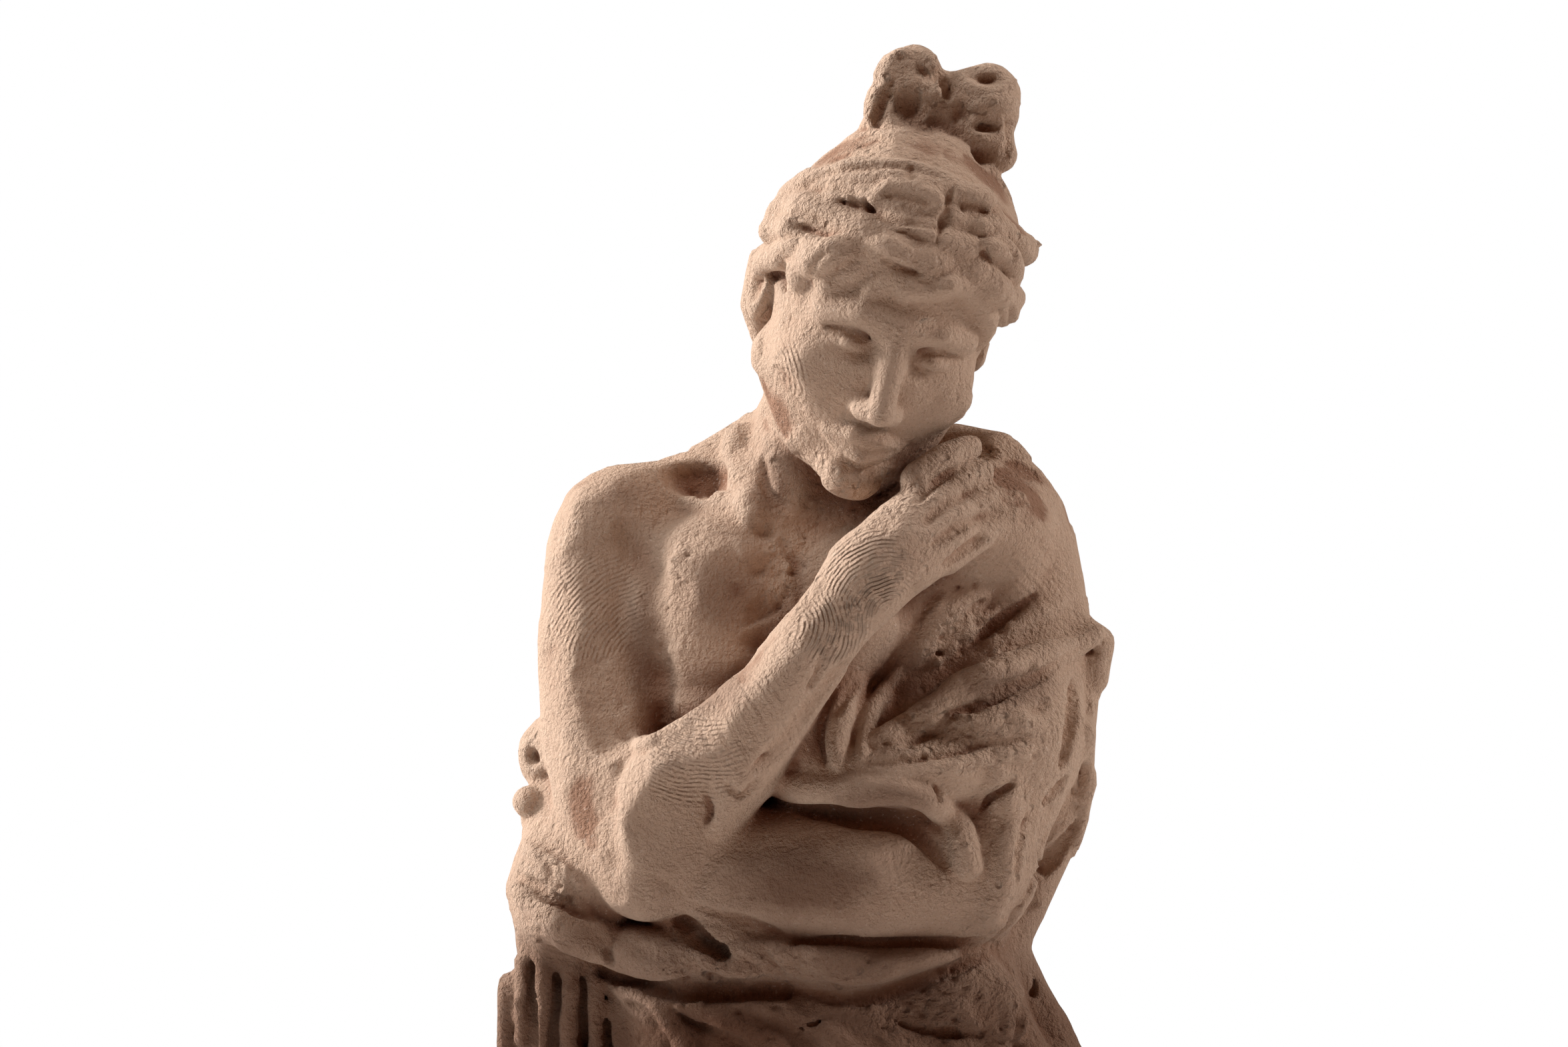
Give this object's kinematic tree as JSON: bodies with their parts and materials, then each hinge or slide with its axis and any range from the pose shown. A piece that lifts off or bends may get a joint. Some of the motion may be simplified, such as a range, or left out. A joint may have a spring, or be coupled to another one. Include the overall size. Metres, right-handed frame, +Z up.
{
  "type": "terracotta statuette",
  "caption": "Fired clay sketch of a standing draped figure with folded arms and bowed head, on a low base of the same clay, that stands by its own weight.",
  "frame": {"origin": "middle of the underside of the base", "axes": "+Z up, the figure faces -Y, +X is the figure's own left"},
  "size_m": [0.104, 0.088, 0.3248],
  "materials": {
    "terracotta": "matt, unglazed"
  },
  "bodies": {
    "root": {"figure": "terracotta"}
  },
  "joints": []
}
